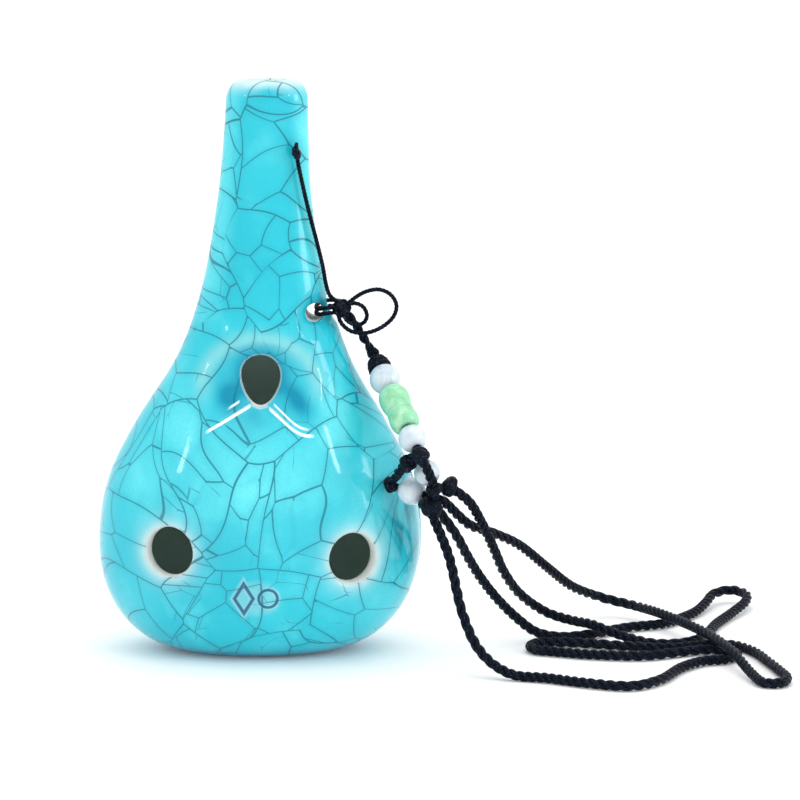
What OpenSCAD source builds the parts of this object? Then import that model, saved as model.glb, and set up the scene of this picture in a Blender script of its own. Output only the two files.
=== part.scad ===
// Six-hole ceramic ocarina of the upright bottle shape, with its beaded neck cord.
// The ocarina stands on its foot with the mouthpiece up. The origin is the middle of
// the foot, +Z is up, and the voicing window and the two thumb holes face -Y.

/* [Ocarina] */
// Height from the foot to the end of the mouthpiece
height = 137; // [125:1:150]
// Greatest width, across the belly
belly_w = 77.2; // [70:0.2:84]
// Width of the mouthpiece at its end
mouth_w = 19.2; // [17:0.2:22]
// Depth of the body as a share of its width
flatness = 0.65; // [0.55:0.01:0.75]
// Sideways lean of the neck, as a slope
lean = 0.02; // [0:0.005:0.03]
// Thickness of the fired wall
wall = 5; // [4:0.5:5]
// Radius of the rounded lip of the mouthpiece
lip_r = 2.6; // [1.5:0.1:3.5]

/* [Voicing] */
// Width of the window
window_w = 9.2; // [8:0.2:11]
// Height of the window
window_h = 11.6; // [10:0.2:13]
// Height of the window's middle above the foot
window_z = 67; // [66:0.5:69]
// Width of the windway slot
windway_w = 8; // [7:0.2:8.6]
// Thickness of the windway slot
windway_t = 1.6; // [1.2:0.1:2]

/* [Tone holes] */
// Diameter of each thumb hole
thumb_d = 12.4; // [10:0.2:13]
// Diameters of the four finger holes: upper left, upper right, lower left, lower right
finger_d = [6.5, 7.5, 8.5, 9.5]; // [5:0.5:10]
// Diameter of the strap hole in the shoulder of the neck
strap_d = 4.2; // [4:0.1:4.6]

/* [Cord and beads] */
// Diameter of the thin waxed tie cord
tie_d = 1.1; // [0.9:0.1:1.2]
// Diameter of the twisted neck rope
rope_d = 2.4; // [2:0.1:2.4]
// Diameter of the cord where it is pulled through a bead
core_d = 1.8; // [1.4:0.1:1.8]
// Radial clearance between a bead and the cord through it
bead_play = 0.1; // [0.05:0.01:0.1]
// Diameter of the upper white bead
upper_bead_d = 7.4; // [6.6:0.1:7.5]
// Diameter of the lower white bead
lower_bead_d = 6.7; // [6:0.1:6.8]
// Diameter of the white bead that hangs in front
front_bead_d = 6.8; // [6:0.1:6.9]
// Diameter of the white bead that hangs behind
rear_bead_d = 6.2; // [5.8:0.1:6.3]
// Greatest diameter of the green gourd bead
gourd_d = 7.4; // [6.5:0.1:7.6]

/* [Hidden] */
$fn = 64;

// The widest part of the belly, which the lean turns about
belly_z = 0.205 * height;
// The outline of the body from the foot up: a share of the height, and how far the
// half width has swelled from the mouthpiece's (0) to the belly's (1)
outline = [[0, 0.44], [0.05, 0.75], [0.12, 0.94], [0.205, 1], [0.3, 0.93], [0.4, 0.7],
    [0.52, 0.37], [0.65, 0.16], [0.78, 0.06], [0.9, 0.02], [1 - lip_r / height, 0]];
outline_steps = 4;
lip_steps = 5;
floor_t = 4.5;
foot_cut = 1;
chamber_top = 60;
chamber_flatness = flatness - 0.04;
// The round top of the chamber, which ends under the windway
chamber_dome = [[14, 67], [8, 72], [0, 74.5]];

// The windway runs from the middle of the lip down to the top of the window
windway_exit = [0.8, -8.6, 72];
windway_tilt = 7;
windway_len = 70;
// The hollow pressed into the skin round the window, and the ridge of the labium that
// ends it below, as [x, z]
scoop_pos = [0.6, -16.4, 64];
scoop_size = [23, 7.4, 21];
scoop_tilt = 20;
labium_ridge = [[0.6, 62.6], [-12, 54.8], [-12, 80], [13, 80], [13, 55.2]];
window_steps = 40;
window_taper = 0.18;
// How far its middle is to the right of the foot's
window_x = 0.6;
// How far back the window reaches, and the length of every cut that runs out of the body
window_back = -3;
cut_depth = 40;

// Where each tone hole crosses the skin, as [x, z]
thumb_holes = [[-21.6, 27.2], [23, 25.6]];
finger_holes = [[-13, 54], [13, 54], [-15, 36], [15, 36]];
strap_pos = [13.2, 82];
dish_r = 6;
dish_pos = [14.6, 8, 82];

// The line of the three beads that share one cord, from the stop knot downwards
stack_start = [27, -0.5, 71.6];
stack_end = [38, -26.3, 52];
upper_bead_at = 9.1;
lower_bead_at = 29.2;
gathering_at = 34.7;
bead_gap = 0.15;
gathering_r = 2;
stop_r = 1.45;
cap_r = 2.6;
cap_at = 4.4;
cap_gap = 0.15;
bore_r = core_d / 2 + bead_play;
// The gourd bead's outline: a share of its length, and a share of its greatest radius
gourd_outline = [[0, 0.5], [0.05, 0.78], [0.15, 0.96], [0.27, 1], [0.4, 0.96], [0.51, 0.87],
    [0.57, 0.83], [0.605, 0.89], [0.64, 0.84], [0.69, 0.9], [0.79, 0.95], [0.88, 0.92],
    [0.95, 0.82], [1, 0.62]];
gourd_steps = 3;

// The front bead lies between the branch's end knot and the neck knot
branch_end_pos = [31.2, -15, 42.4];
branch_end_r = 1.7;
front_axis_end = [41.2, -19.5, 40.4];
front_bead_at = 5.6;
// The ends of its core cord, along the same line
front_core_ends = [1.4, 9.4];
// The rear bead hangs behind the link cord
rear_top = [39.3, -21.2, 49.6];
rear_bottom = [40.3, -20, 43.2];
rear_axis = unit(rear_bottom - rear_top);
rear_len = norm(rear_bottom - rear_top);
// How far its cords run on, above and below
rear_lead = 0.9;
rear_tail = 2.4;

tie_knot_pos = [19.6, -4, 82.8];
tie_knot_r = 2.1;
tail_end_pos = [9.1, -6.75, 120.2];
tail_end_r = 1.4;
link_knot_pos = [41.6, -23.8, 43];
link_knot_r = 1.7;
neck_knot_pos = [41.2, -20.4, 38.9];
neck_knot_r = 2.6;
side_knot_pos = [45, -20.8, 43.2];
side_knot_r = 2.2;
gathering_pos = stack_start + gathering_at * unit(stack_end - stack_start);

// Routes of the cords, as points on their centre lines
tail_route = [[18.5, -4.5, 84.5], [16.8, -5, 86.2], [15.9, -4.8, 89], [15.2, -4.7, 93],
    [13.9, -4.9, 98.5], [12.5, -5.2, 104], [11.3, -5.6, 109], [10.3, -5.9, 113.6],
    [9.6, -6.2, 117], [9.2, -6.4, 119.4]];
bow_large_route = [[21, -4.5, 84], [23, -5, 85.7], [25.5, -5.4, 87.1], [28.5, -5.6, 87.6],
    [31.2, -5.6, 86.4], [32.6, -5.6, 83.9], [32, -5.6, 81.3], [30, -5.7, 79.2], [27.4, -6, 77.8],
    [24.6, -6, 77.2], [21.8, -5.8, 77.7], [19.8, -5.2, 79.2], [19, -4.8, 81]];
bow_small_route = [[21.2, -3.2, 83.6], [23, -2.6, 83.8], [24.8, -2.2, 82.8], [25.6, -2, 80.8],
    [24.8, -1.6, 79], [22.8, -1.5, 78.5], [20.9, -1.6, 79.5], [20.2, -2.2, 80.7]];
strap_upper_route = [[18, -4.9, 83.2], [16.4, -5.6, 83.2], [14.7, -5, 82.9], [13.8, -3, 82.7],
    [13.6, 0, 82.6], [13.8, 3, 82.7], [14.8, 5.2, 83], [16.8, 5.8, 83.3], [18.8, 4.4, 83.4],
    [19.8, 2, 83.4], [20, -0.6, 83.3], [19.9, -2.2, 83.2]];
strap_lower_route = [[18, -4.8, 82], [16.4, -5.5, 81.9], [14.7, -4.9, 81.6], [13.8, -3, 81.4],
    [13.6, 0, 81.3], [13.8, 3, 81.4], [14.8, 5.2, 81.6], [16.8, 5.8, 81.9], [18.8, 4.4, 82],
    [19.8, 2, 82], [20, -0.6, 82], [19.9, -2.2, 82]];
strand_route = [[20.8, -4, 81.6], [22.2, -3.9, 80], [23.6, -3.5, 77.8], [25, -2.6, 75.2],
    [26.4, -1, 72.6]];
link_route = [[38.9, -27, 50.2], [39.7, -25.8, 48.4], [40.5, -25.2, 46.4], [41.2, -24.4, 44.4]];
branch_route = [[36.5, -26, 51.2], [35, -24.2, 49.4], [33.6, -21.4, 47.2], [32.4, -18.4, 44.9],
    [31.7, -16.2, 43.3]];
rear_route = [[38.5, -24.8, 51.2], [38.9, -23.3, 51.2], [39, -22.2, 51.1],
    rear_top - rear_lead * rear_axis, rear_top];
front_loop_route = [[40.8, -21.8, 37.2], [45, -22.2, 26.5], [48, -27, 14.4], [52.2, -32.6, 6.2],
    [59, -36.4, 1.7], [68, -39.4, 1.3], [78, -45, 1.3], [87, -47.6, 1.3], [94, -41, 1.3],
    [99.4, -28.6, 1.3], [105, -21.4, 1.3], [110.6, -19.4, 1.3], [113.6, -14.8, 1.3],
    [111.4, -10.2, 1.3], [106.4, -9, 1.3], [100.6, -11.4, 1.3], [91, -15.8, 1.3],
    [79, -14.4, 1.3], [70, -11, 1.3], [66.2, -9.4, 1.3], [64.6, -5.7, 1.3], [66.2, -2, 1.3],
    [70, -0.6, 1.3], [77, -1.6, 1.3], [87, -5, 1.3], [97, -7, 1.3], [106.4, -4.2, 1.3],
    [113, -4, 1.3], [117.6, -11, 1.3], [120.4, -22, 1.3], [122.6, -32.4, 1.3],
    [123.6, -39.4, 1.3], [121.8, -44.4, 1.3], [117.8, -43.8, 1.3], [115.4, -36.6, 1.9],
    [111.6, -22.5, 4.1], [107.4, -5.5, 4.1], [102, 8, 4.1], [96.4, 19.5, 4.1], [90.6, 30.5, 3.6],
    [83, 33, 5], [75.4, 24.5, 9.6], [68.6, 13.5, 17], [62, 4.4, 24], [55.4, -4.4, 28.8],
    [49.6, -12, 32.4], [43.4, -19.4, 39.5]];
back_loop_route = [[46.4, -19.8, 42], [50, -18, 38.6], [53, -14, 32.6], [55.6, -8.5, 26],
    [58.4, -1.4, 18.4], [62.4, 6.8, 11.4], [68.4, 12.4, 6], [74.4, 10.6, 4.3], [79.6, 6.2, 4.1],
    [86, 2.6, 2.4], [93, -1.4, 1.3], [99.4, -2.6, 1.3], [104.6, 1.6, 1.3], [107.8, 9.6, 1.3],
    [110.6, 20, 1.3], [115, 31, 1.6], [118.8, 40, 2.4], [119.2, 46.4, 3], [115.8, 50.2, 3.2],
    [111.4, 47.4, 2.8], [109.2, 41, 2.1], [106.6, 34, 1.5], [103, 27.5, 1.3],
    [97.4, 19.8, 1.3], [88.6, 15.6, 1.3], [79.6, 8, 1.3], [72.4, 5, 1.3], [66.4, 4.2, 2.6],
    [61.6, 2.4, 6.4], [56.6, -0.6, 12], [52.4, -5.4, 18.4], [49.4, -10.6, 24.4],
    [46.4, -16, 31], [42.5, -19.7, 37.1]];
tube_sides = 8;

function unit(v) = v / norm(v);

// A point on the smooth curve between b and c, whose neighbours are a and d
function curve_point(a, b, c, d, t) =
    0.5 * (2 * b + t * (c - a) + t * t * (2 * a - 5 * b + 4 * c - d)
        + t * t * t * (3 * b - a - 3 * c + d));

// The points given, with the stretches between them rounded into steps
function smooth(p, steps) = concat(
    [for (i = [0 : len(p) - 2]) for (s = [0 : steps - 1])
        curve_point(p[max(i - 1, 0)], p[i], p[i + 1], p[min(i + 2, len(p) - 1)], s / steps)],
    [p[len(p) - 1]]);

// The direction of a route at one of its points
function heading(p, i) = unit(p[min(i + 1, len(p) - 1)] - p[max(i - 1, 0)]);

// One sideways direction at each point, carried along without twisting
function sideways(p, i = 0, last = undef, found = []) =
    i == len(p) ? found :
    let (t = heading(p, i),
        from = is_undef(last) ? (abs(t[2]) < 0.9 ? [0, 0, 1] : [1, 0, 0]) : last,
        side = unit(from - (from * t) * t))
    sideways(p, i + 1, side, concat(found, [side]));

// A plain round cord of diameter d along a route
module tube(p, d) {
    n = tube_sides;
    sides = sideways(p);
    corners = [for (i = [0 : len(p) - 1])
        let (u = sides[i], v = cross(heading(p, i), u))
        for (k = [0 : n - 1])
            p[i] + d / 2 * (cos(360 * k / n) * u + sin(360 * k / n) * v)];
    skin = [for (i = [0 : len(p) - 2]) for (k = [0 : n - 1]) for (half = [0, 1])
        let (a = i * n + k, b = i * n + (k + 1) % n)
        half == 0 ? [a, a + n, b + n] : [a, b + n, b]];
    first_end = [for (k = [0 : n - 1]) k];
    last_end = [for (k = [n - 1 : -1 : 0]) (len(p) - 1) * n + k];
    polyhedron(corners, concat(skin, [first_end, last_end]));
}

// Stands its children, drawn up the Z axis, along the line from a to b
module along(a, b) {
    d = b - a;
    translate(a) rotate([0, acos(d[2] / norm(d)), atan2(d[1], d[0])]) children();
}

// Half width of the body's round form at height z
function body_r(z) = lookup(z, [for (p = skin_points) [p[1], p[0]]]);

skin_points = smooth([for (o = outline)
    [mouth_w / 2 + o[1] * (belly_w - mouth_w) / 2, o[0] * height]], outline_steps);

// Flattens a round form from front to back, and leans it to the side
module flatten(share) {
    multmatrix([[1, 0, lean, -lean * belly_z], [0, share, 0, 0], [0, 0, 1, 0], [0, 0, 0, 1]])
        children();
}

module body_shell() {
    lip = [for (k = [1 : lip_steps]) let (a = 90 * k / lip_steps)
        [mouth_w / 2 - lip_r + lip_r * cos(a), height - lip_r + lip_r * sin(a)]];
    flatten(flatness) rotate_extrude()
        polygon(concat([[0, -foot_cut], [skin_points[0][0], -foot_cut]], skin_points, lip,
            [[0, height]]));
}

// What is ground off under the foot, to leave it flat
module foot_plane() {
    translate([-belly_w, -belly_w, -2 * foot_cut]) cube([2 * belly_w, 2 * belly_w, 2 * foot_cut]);
}

module chamber() {
    sides = [for (p = skin_points) if (p[1] > floor_t && p[1] < chamber_top) [p[0] - wall, p[1]]];
    flatten(chamber_flatness) rotate_extrude()
        polygon(concat([[0, floor_t], [sides[0][0] - wall, floor_t]], sides, chamber_dome));
}

// An egg, pointed at the bottom, cut straight in from the front
module window() {
    egg = [for (k = [0 : window_steps - 1]) let (a = 360 * k / window_steps)
        [window_w / 2 * sin(a) * (1 + window_taper * cos(a)), window_h / 2 * cos(a)]];
    translate([window_x, window_back, window_z]) rotate([90, 0, 0])
        linear_extrude(cut_depth) polygon(egg);
}

module windway() {
    translate(windway_exit) rotate([-windway_tilt, atan(lean), 0])
        translate([-windway_w / 2, -windway_t / 2, 0]) cube([windway_w, windway_t, windway_len]);
}

module voicing_scoop() {
    intersection() {
        translate(scoop_pos) rotate([-scoop_tilt, 0, 0]) scale(scoop_size / 2) sphere(r = 1);
        rotate([90, 0, 0]) linear_extrude(cut_depth) polygon(labium_ridge);
    }
}

// A round hole square to the skin at [x, z], on the front (-1) or the back (1)
module tone_hole(at, d, face) {
    r = body_r(at[1]);
    x = at[0] - lean * (at[1] - belly_z);
    y = flatness * sqrt(r * r - x * x);
    translate([at[0], face * y, at[1]])
        rotate([90, 0, atan2(face * y / (flatness * flatness), x) + 90])
            cylinder(d = d, h = 4 * wall, center = true);
}

module ocarina_body() {
    color([0.24, 0.80, 0.86]) difference() {
        body_shell();
        foot_plane();
        chamber();
        window();
        windway();
        voicing_scoop();
        for (at = thumb_holes) tone_hole(at, thumb_d, -1);
        for (i = [0 : 3]) tone_hole(finger_holes[i], finger_d[i], 1);
        translate([strap_pos[0], 0, strap_pos[1]]) rotate([90, 0, 0])
            cylinder(d = strap_d, h = cut_depth, center = true);
        for (face = [-1, 1]) translate([dish_pos[0], face * dish_pos[1], dish_pos[2]])
            sphere(r = dish_r);
    }
}

module cord_colour() { color([0.07, 0.07, 0.09]) children(); }

module knot(at, r) { cord_colour() translate(at) sphere(r = r); }

// A round bead centred a distance along its cord
module round_bead(a, b, at, d) {
    color([0.88, 0.93, 0.96]) along(a, b) translate([0, 0, at]) difference() {
        sphere(d = d);
        cylinder(r = bore_r, h = 2 * d, center = true);
    }
}

module strap_loop_cord() {
    cord_colour() {
        tube(smooth(strap_upper_route, 2), tie_d);
        tube(smooth(strap_lower_route, 2), tie_d);
    }
}

module tie_knot() { knot(tie_knot_pos, tie_knot_r); }

module tail_cord() { cord_colour() tube(smooth(tail_route, 2), tie_d); }

module tail_end_knot() { knot(tail_end_pos, tail_end_r); }

module bow_cord() {
    cord_colour() {
        tube(smooth(bow_large_route, 2), tie_d);
        tube(smooth(bow_small_route, 2), tie_d);
    }
}

module bead_strand() { cord_colour() tube(strand_route, 2 * tie_d); }

module stop_knot() { knot(stack_start, stop_r); }

// A knot pulled down over the top of the upper bead
module cap_knot() {
    cord_colour() along(stack_start, stack_end) difference() {
        translate([0, 0, cap_at]) sphere(r = cap_r);
        translate([0, 0, upper_bead_at]) sphere(r = upper_bead_d / 2 + cap_gap);
    }
}

module bead_core_cord() {
    cord_colour() along(stack_start, stack_end) cylinder(d = core_d, h = gathering_at);
}

module upper_white_bead() {
    round_bead(stack_start, stack_end, upper_bead_at, upper_bead_d);
}

module gourd_bead() {
    low = upper_bead_at + upper_bead_d / 2 + bead_gap;
    high = lower_bead_at - lower_bead_d / 2 - bead_gap;
    side = smooth([for (o = gourd_outline)
        [o[1] * gourd_d / 2, low + o[0] * (high - low)]], gourd_steps);
    color([0.62, 0.90, 0.68]) along(stack_start, stack_end) rotate_extrude()
        polygon(concat([[bore_r, low]], side, [[bore_r, high]]));
}

module lower_white_bead() {
    round_bead(stack_start, stack_end, lower_bead_at, lower_bead_d);
}

module gathering_knot() { knot(gathering_pos, gathering_r); }

module link_cord() { cord_colour() tube(link_route, rope_d); }

module branch_cord() { cord_colour() tube(branch_route, rope_d); }

module branch_end_knot() { knot(branch_end_pos, branch_end_r); }

module front_core_cord() {
    cord_colour() along(branch_end_pos, front_axis_end)
        translate([0, 0, front_core_ends[0]])
            cylinder(d = core_d, h = front_core_ends[1] - front_core_ends[0]);
}

module front_white_bead() {
    round_bead(branch_end_pos, front_axis_end, front_bead_at, front_bead_d);
}

module rear_cord() { cord_colour() tube(rear_route, core_d); }

module rear_core_cord() {
    cord_colour() along(rear_top, rear_bottom)
        cylinder(d = core_d, h = rear_len + rear_tail);
}

module rear_white_bead() {
    round_bead(rear_top, rear_bottom, rear_len / 2, rear_bead_d);
}

module link_knot() { knot(link_knot_pos, link_knot_r); }

module neck_knot() { knot(neck_knot_pos, neck_knot_r); }

module side_knot() { knot(side_knot_pos, side_knot_r); }

module neck_rope_front() { cord_colour() tube(smooth(front_loop_route, 2), rope_d); }

module neck_rope_back() { cord_colour() tube(smooth(back_loop_route, 2), rope_d); }

ocarina_body();
strap_loop_cord();
tie_knot();
tail_cord();
tail_end_knot();
bow_cord();
bead_strand();
stop_knot();
cap_knot();
bead_core_cord();
upper_white_bead();
gourd_bead();
lower_white_bead();
gathering_knot();
link_cord();
branch_cord();
branch_end_knot();
front_core_cord();
front_white_bead();
rear_cord();
rear_core_cord();
rear_white_bead();
link_knot();
neck_knot();
side_knot();
neck_rope_front();
neck_rope_back();
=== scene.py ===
"""The looks of a bottle-shaped ceramic ocarina with a beaded neck cord, on its CAD model.

Lengths in this script are in millimetres until a mesh is made, and the meshes are in metres.
"""
import math

import bmesh
import bpy
import numpy as np
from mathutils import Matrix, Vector
from numpy.linalg import norm


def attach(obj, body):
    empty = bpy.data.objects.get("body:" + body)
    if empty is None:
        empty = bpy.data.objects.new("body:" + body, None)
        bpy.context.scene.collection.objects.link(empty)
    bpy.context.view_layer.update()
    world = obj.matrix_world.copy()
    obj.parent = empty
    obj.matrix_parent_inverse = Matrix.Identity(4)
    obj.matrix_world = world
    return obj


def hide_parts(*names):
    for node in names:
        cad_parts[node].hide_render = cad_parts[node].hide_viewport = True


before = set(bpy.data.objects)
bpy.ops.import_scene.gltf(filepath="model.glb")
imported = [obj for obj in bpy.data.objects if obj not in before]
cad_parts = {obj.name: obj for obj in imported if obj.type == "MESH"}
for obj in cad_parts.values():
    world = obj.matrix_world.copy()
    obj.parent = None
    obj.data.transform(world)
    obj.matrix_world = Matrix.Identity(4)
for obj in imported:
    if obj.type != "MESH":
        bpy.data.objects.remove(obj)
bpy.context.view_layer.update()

MM = 0.001
ROOT = "ocarina"


def srgb(r, g, b):
    """A linear colour from its 0 to 255 values."""
    def one(c):
        c /= 255
        return c / 12.92 if c <= 0.04045 else ((c + 0.055) / 1.055) ** 2.4
    return (one(r), one(g), one(b), 1)


def unit(v):
    v = np.asarray(v, float)
    return v / norm(v)


# ---- camera and light

VIEW_CENTRE = Vector((33.45, 0, 60.1)) * MM
VIEW_WIDTH = 190.5 * MM
VIEW_UP_DEG = 10
CAMERA_AWAY = 1.3
SENSOR = 36
NEAREST, FARTHEST = 0.05, 20

SKY, SKY_STRENGTH = (0.985, 0.992, 1, 1), 1.0
LIGHT_TARGET = (0.02, 0, 0.06)
# Each light's name, place, width and height in metres, and power in watts
LIGHTS = [
    ("window_left", (-0.66, -0.6, 0.5), (0.05, 0.12), 0.26),
    ("window_right", (0.7, -0.62, 0.5), (0.04, 0.1), 0.18),
    ("side_right", (0.85, -0.36, 0.29), (0.25, 0.35), 1.2),
    ("top", (0.05, 0.05, 1.6), (1.6, 1.6), 9.5),
]
FLOOR_HALF, FLOOR_COLOUR, FLOOR_ROUGHNESS, FLOOR_GLOW = 4.0, (0.95, 0.95, 0.95, 1), 0.6, 0.07


def aim(obj, target):
    obj.rotation_euler = (Vector(target) - obj.location).to_track_quat("-Z", "Y").to_euler()


def make_camera():
    data = bpy.data.cameras.new("camera")
    data.sensor_width = SENSOR
    data.lens = SENSOR * CAMERA_AWAY / VIEW_WIDTH
    data.clip_start = NEAREST
    data.clip_end = FARTHEST
    cam = bpy.data.objects.new("camera", data)
    up = math.radians(VIEW_UP_DEG)
    cam.location = VIEW_CENTRE + CAMERA_AWAY * Vector((0, -math.cos(up), math.sin(up)))
    aim(cam, VIEW_CENTRE)
    bpy.context.scene.collection.objects.link(cam)
    bpy.context.scene.camera = cam


def area_light(name, place, size, power):
    data = bpy.data.lights.new(name, "AREA")
    data.shape = "RECTANGLE"
    data.size, data.size_y = size
    data.energy = power
    light = bpy.data.objects.new(name, data)
    light.location = place
    aim(light, LIGHT_TARGET)
    bpy.context.scene.collection.objects.link(light)


def make_studio():
    scene = bpy.context.scene
    scene.view_settings.view_transform = "Standard"
    world = bpy.data.worlds.new("studio")
    world.use_nodes = True
    background = world.node_tree.nodes["Background"]
    background.inputs["Color"].default_value = SKY
    background.inputs["Strength"].default_value = SKY_STRENGTH
    scene.world = world
    for light in LIGHTS:
        area_light(*light)
    mesh = bpy.data.meshes.new("floor")
    s = FLOOR_HALF
    mesh.from_pydata([(-s, -s, 0), (s, -s, 0), (s, s, 0), (-s, s, 0)], [], [(0, 1, 2, 3)])
    floor = bpy.data.objects.new("floor", mesh)
    scene.collection.objects.link(floor)
    mat = bpy.data.materials.new("floor")
    mat.use_nodes = True
    shader = mat.node_tree.nodes["Principled BSDF"]
    shader.inputs["Base Color"].default_value = FLOOR_COLOUR
    shader.inputs["Roughness"].default_value = FLOOR_ROUGHNESS
    shader.inputs["Emission Color"].default_value = (1, 1, 1, 1)
    shader.inputs["Emission Strength"].default_value = FLOOR_GLOW
    mesh.materials.append(mat)


make_camera()
make_studio()

# ---- routes of the cords
# The same points as the CAD model's.

TIE_D, ROPE_D, CORE_D = 1.1, 2.4, 1.8
# How thick the rope's strands are drawn together, and the drawn core inside a bead
ROPE_FULL, CORE_DRAWN = 2.5, CORE_D - 0.1
STACK_START, STACK_END = np.array([27, -0.5, 71.6]), np.array([38, -26.3, 52])
STACK_DIR = unit(STACK_END - STACK_START)
GATHERING = STACK_START + 34.7 * STACK_DIR
BRANCH_END, FRONT_END = np.array([31.2, -15, 42.4]), np.array([41.2, -19.5, 40.4])
FRONT_DIR = unit(FRONT_END - BRANCH_END)
REAR_TOP, REAR_BOTTOM = np.array([39.3, -21.2, 49.6]), np.array([40.3, -20, 43.2])
REAR_DIR = unit(REAR_BOTTOM - REAR_TOP)
TIE_KNOT, TAIL_END = np.array([19.6, -4, 82.8]), np.array([9.1, -6.75, 120.2])
LINK_KNOT, NECK_KNOT = np.array([41.6, -23.8, 43]), np.array([41.2, -20.4, 38.9])
SIDE_KNOT = np.array([45, -20.8, 43.2])
BRANCH_WEDGE, CAP_SPAN = np.array([35.2, -24.4, 49.3]), (2.3, 6.0)

TAIL = [[18.5, -4.5, 84.5], [16.8, -5, 86.2], [15.9, -4.8, 89], [15.2, -4.7, 93],
        [13.9, -4.9, 98.5], [12.5, -5.2, 104], [11.3, -5.6, 109], [10.3, -5.9, 113.6],
        [9.6, -6.2, 117], [9.2, -6.4, 119.4]]
BOW_LARGE = [[21, -4.5, 84], [23, -5, 85.7], [25.5, -5.4, 87.1], [28.5, -5.6, 87.6],
             [31.2, -5.6, 86.4], [32.6, -5.6, 83.9], [32, -5.6, 81.3], [30, -5.7, 79.2],
             [27.4, -6, 77.8], [24.6, -6, 77.2], [21.8, -5.8, 77.7], [19.8, -5.2, 79.2],
             [19, -4.8, 81]]
BOW_SMALL = [[21.2, -3.2, 83.6], [23, -2.6, 83.8], [24.8, -2.2, 82.8], [25.6, -2, 80.8],
             [24.8, -1.6, 79], [22.8, -1.5, 78.5], [20.9, -1.6, 79.5], [20.2, -2.2, 80.7]]
STRAP_UPPER = [[18, -4.9, 83.2], [16.4, -5.6, 83.2], [14.7, -5, 82.9], [13.8, -3, 82.7],
               [13.6, 0, 82.6], [13.8, 3, 82.7], [14.8, 5.2, 83], [16.8, 5.8, 83.3],
               [18.8, 4.4, 83.4], [19.8, 2, 83.4], [20, -0.6, 83.3], [19.9, -2.2, 83.2]]
STRAP_LOWER = [[18, -4.8, 82], [16.4, -5.5, 81.9], [14.7, -4.9, 81.6], [13.8, -3, 81.4],
               [13.6, 0, 81.3], [13.8, 3, 81.4], [14.8, 5.2, 81.6], [16.8, 5.8, 81.9],
               [18.8, 4.4, 82], [19.8, 2, 82], [20, -0.6, 82], [19.9, -2.2, 82]]
STRAND = [[20.8, -4, 81.6], [22.2, -3.9, 80], [23.6, -3.5, 77.8], [25, -2.6, 75.2],
          [26.4, -1, 72.6]]
LINK = [[38.9, -27, 50.2], [39.7, -25.8, 48.4], [40.5, -25.2, 46.4], [41.2, -24.4, 44.4]]
BRANCH = [[36.5, -26, 51.2], [35, -24.2, 49.4], [33.6, -21.4, 47.2], [32.4, -18.4, 44.9],
          [31.7, -16.2, 43.3]]
REAR = [[38.5, -24.8, 51.2], [38.9, -23.3, 51.2], [39, -22.2, 51.1],
        REAR_TOP - 0.9 * REAR_DIR, REAR_TOP]
FRONT_LOOP = [
    [40.8, -21.8, 37.2], [45, -22.2, 26.5], [48, -27, 14.4], [52.2, -32.6, 6.2],
    [59, -36.4, 1.7], [68, -39.4, 1.3], [78, -45, 1.3], [87, -47.6, 1.3], [94, -41, 1.3],
    [99.4, -28.6, 1.3], [105, -21.4, 1.3], [110.6, -19.4, 1.3], [113.6, -14.8, 1.3],
    [111.4, -10.2, 1.3], [106.4, -9, 1.3], [100.6, -11.4, 1.3], [91, -15.8, 1.3],
    [79, -14.4, 1.3], [70, -11, 1.3], [66.2, -9.4, 1.3], [64.6, -5.7, 1.3], [66.2, -2, 1.3],
    [70, -0.6, 1.3], [77, -1.6, 1.3], [87, -5, 1.3], [97, -7, 1.3], [106.4, -4.2, 1.3],
    [113, -4, 1.3], [117.6, -11, 1.3], [120.4, -22, 1.3], [122.6, -32.4, 1.3],
    [123.6, -39.4, 1.3], [121.8, -44.4, 1.3], [117.8, -43.8, 1.3], [115.4, -36.6, 1.9],
    [111.6, -22.5, 4.1], [107.4, -5.5, 4.1], [102, 8, 4.1],
    [96.4, 19.5, 4.1], [90.6, 30.5, 3.6], [83, 33, 5], [75.4, 24.5, 9.6], [68.6, 13.5, 17],
    [62, 4.4, 24], [55.4, -4.4, 28.8], [49.6, -12, 32.4], [43.4, -19.4, 39.5]]
BACK_LOOP = [
    [46.4, -19.8, 42], [50, -18, 38.6], [53, -14, 32.6], [55.6, -8.5, 26],
    [58.4, -1.4, 18.4], [62.4, 6.8, 11.4], [68.4, 12.4, 6], [74.4, 10.6, 4.3],
    [79.6, 6.2, 4.1], [86, 2.6, 2.4], [93, -1.4, 1.3], [99.4, -2.6, 1.3],
    [104.6, 1.6, 1.3], [107.8, 9.6, 1.3], [110.6, 20, 1.3], [115, 31, 1.6],
    [118.8, 40, 2.4], [119.2, 46.4, 3], [115.8, 50.2, 3.2], [111.4, 47.4, 2.8],
    [109.2, 41, 2.1], [106.6, 34, 1.5], [103, 27.5, 1.3],
    [97.4, 19.8, 1.3], [88.6, 15.6, 1.3], [79.6, 8, 1.3], [72.4, 5, 1.3],
    [66.4, 4.2, 2.6], [61.6, 2.4, 6.4], [56.6, -0.6, 12],
    [52.4, -5.4, 18.4], [49.4, -10.6, 24.4], [46.4, -16, 31], [42.5, -19.7, 37.1]]

# ---- the glaze's drawing

# The labium's ridge falls away from its top to each side, left and right, and bends level
# where it ends. RIDGE_SQUARE turns height over the ridge into distance from it.
RIDGE_X, RIDGE_Z, RIDGE_FALL = 0.5, 63.0, (0.6, 0.88)
RIDGE_REACH, RIDGE_BEND, RIDGE_SQUARE = (20.0, 9.6), 4.0, 0.8
# The bright lines along the ridge, partly thin glaze and partly painted highlight: side, height
# over it, half thickness, start and end
STROKES = [(-1, 0.0, 0.2, 1.9, 13.2), (-1, 1.7, 0.12, 4.6, 8.0),
           (1, 0.0, 0.19, 2.0, 13.2), (1, 1.15, 0.11, 3.0, 12.0)]
STROKE_SOFT, STROKE_FADE_IN, STROKE_FADE_OUT = 0.22, 0.6, 1.6
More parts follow.
